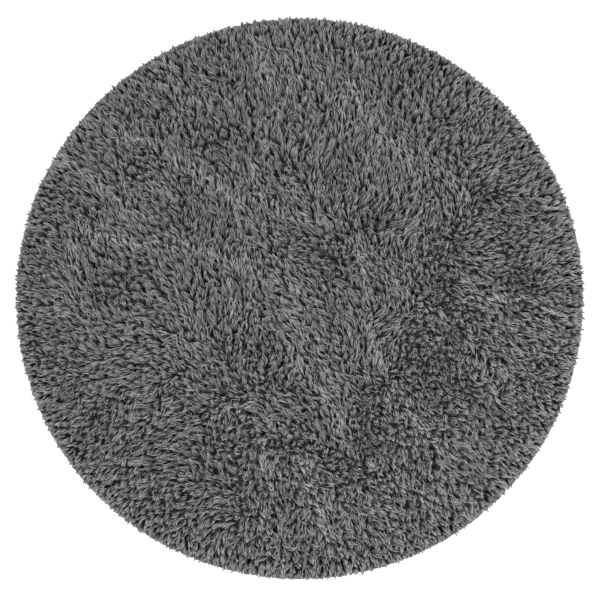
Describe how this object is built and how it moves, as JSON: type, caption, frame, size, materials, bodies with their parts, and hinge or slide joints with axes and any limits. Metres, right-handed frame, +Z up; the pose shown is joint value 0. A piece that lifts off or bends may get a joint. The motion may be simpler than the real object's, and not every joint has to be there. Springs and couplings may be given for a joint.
{
  "type": "round shag rug",
  "caption": "Round shag rug lying flat: a thick coat of soft pointed tufts that lie in swirls over a woven backing, with pointed locks round the rim.",
  "frame": {"origin": "centre of the underside, at floor level", "axes": "+Z up out of the pile; +X to the right and +Y away from the viewer as the rug lies in the picture"},
  "size_m": [1.2, 1.2, 0.045],
  "materials": {
    "backing_cloth": "matte plain-woven cloth",
    "pile_yarn": "soft dark grey cut pile with a slight sheen on the tips"
  },
  "bodies": {
    "root": {"backing": "backing_cloth", "pile": "pile_yarn"}
  },
  "joints": []
}
